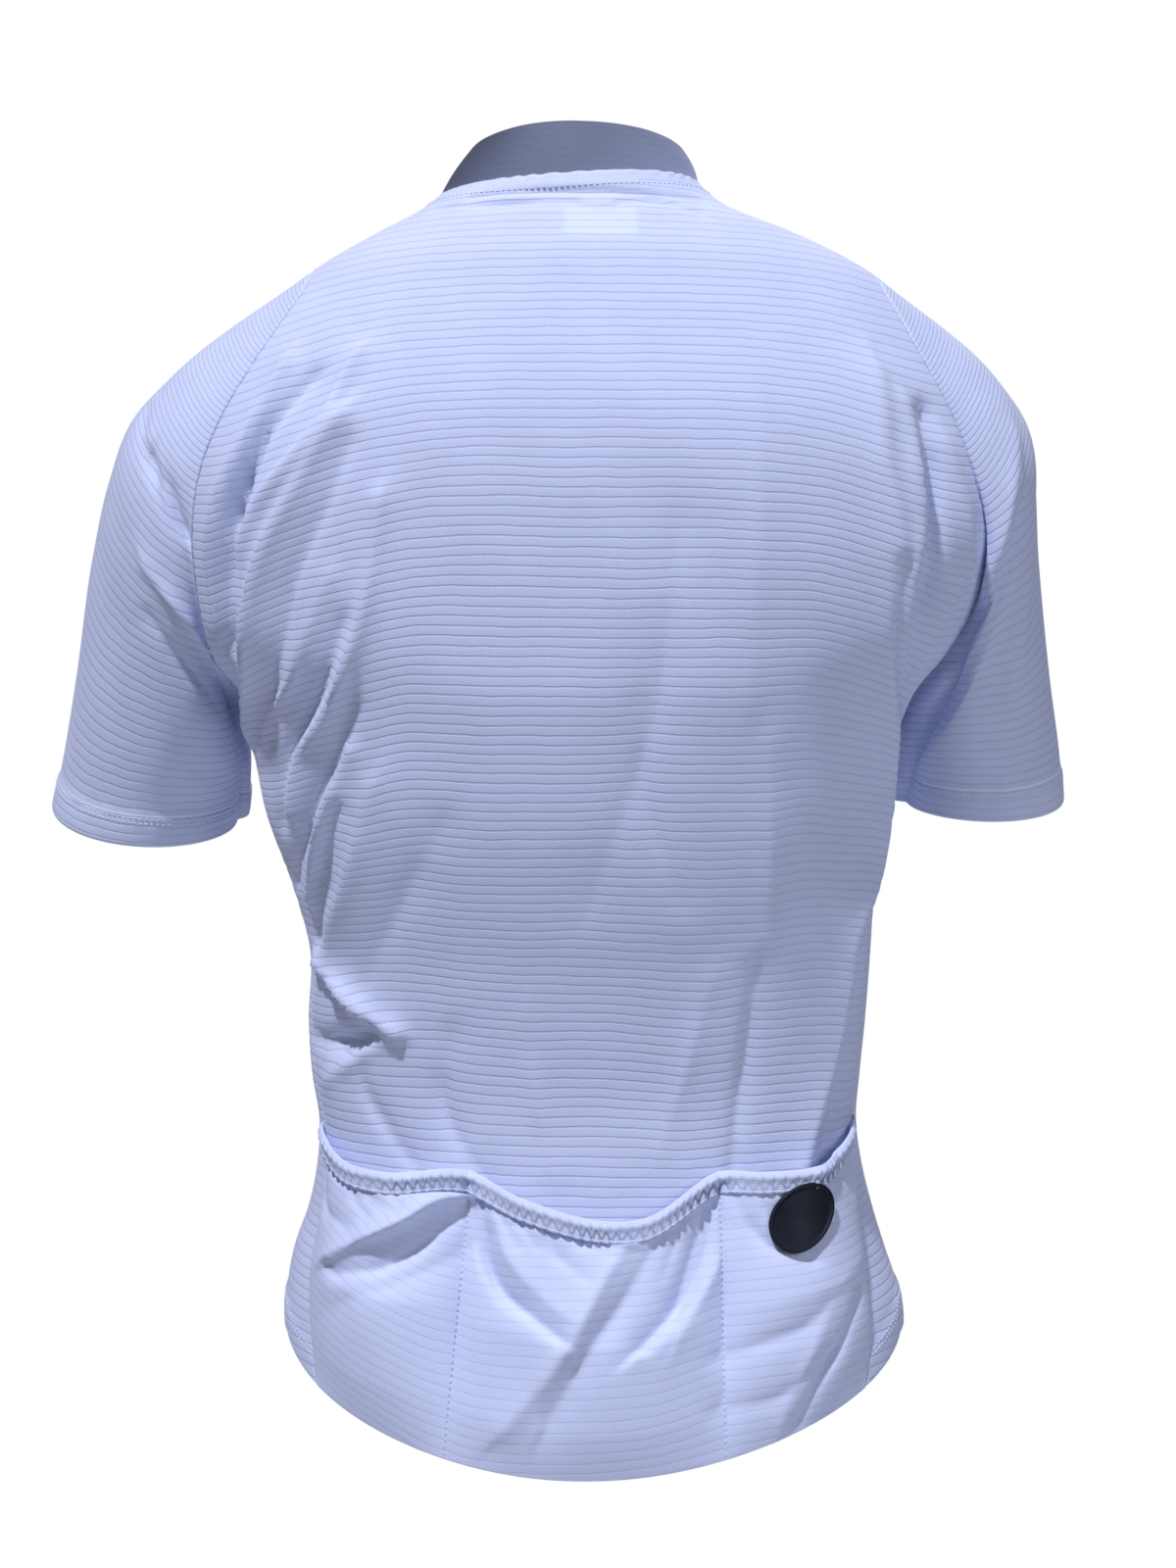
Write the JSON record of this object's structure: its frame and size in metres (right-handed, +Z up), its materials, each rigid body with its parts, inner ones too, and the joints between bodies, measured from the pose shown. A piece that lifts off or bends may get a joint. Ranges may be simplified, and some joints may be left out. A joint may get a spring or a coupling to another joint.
{
  "type": "cycling jersey",
  "caption": "Short-sleeved cycling jersey in its worn form: hollow ribbed shell with stand collar, full front zip, set-in sleeves, dropped tail and gathered back pockets.",
  "frame": {"origin": "middle of the neck hole at the neck seam, where the wearer holds the jersey up", "axes": "+Z up the body, -Y out of the front with the zip, +Y out of the back with the pockets, +X to the wearer's left"},
  "size_m": [0.595, 0.25, 0.7141],
  "materials": {
    "knit": "matt ribbed knit, white",
    "label": "satin weave, white",
    "badge_rubber": "matt black moulded rubber",
    "tape": "woven tape, white",
    "zip_plastic": "moulded plastic, white"
  },
  "bodies": {
    "garment": {"back_panel": "knit", "front_left": "knit", "front_right": "knit", "sleeve_left": "knit", "sleeve_right": "knit", "collar": "knit", "pocket_panel": "knit", "pocket_band": "knit", "neck_label": "label", "badge": "badge_rubber", "zip_tape_left": "tape", "zip_tape_right": "tape", "zip_chain": "zip_plastic", "zip_slider": "zip_plastic"},
    "pull_tab": {"zip_pull": "zip_plastic"}
  },
  "joints": [
    {"name": "pull_tab_hinge", "type": "hinge", "parent": "garment", "child": "pull_tab", "pos_m": [-0.00004, -0.06849, -0.02137], "axis": [-1, 0, 0], "range_deg": [0, 150]}
  ]
}
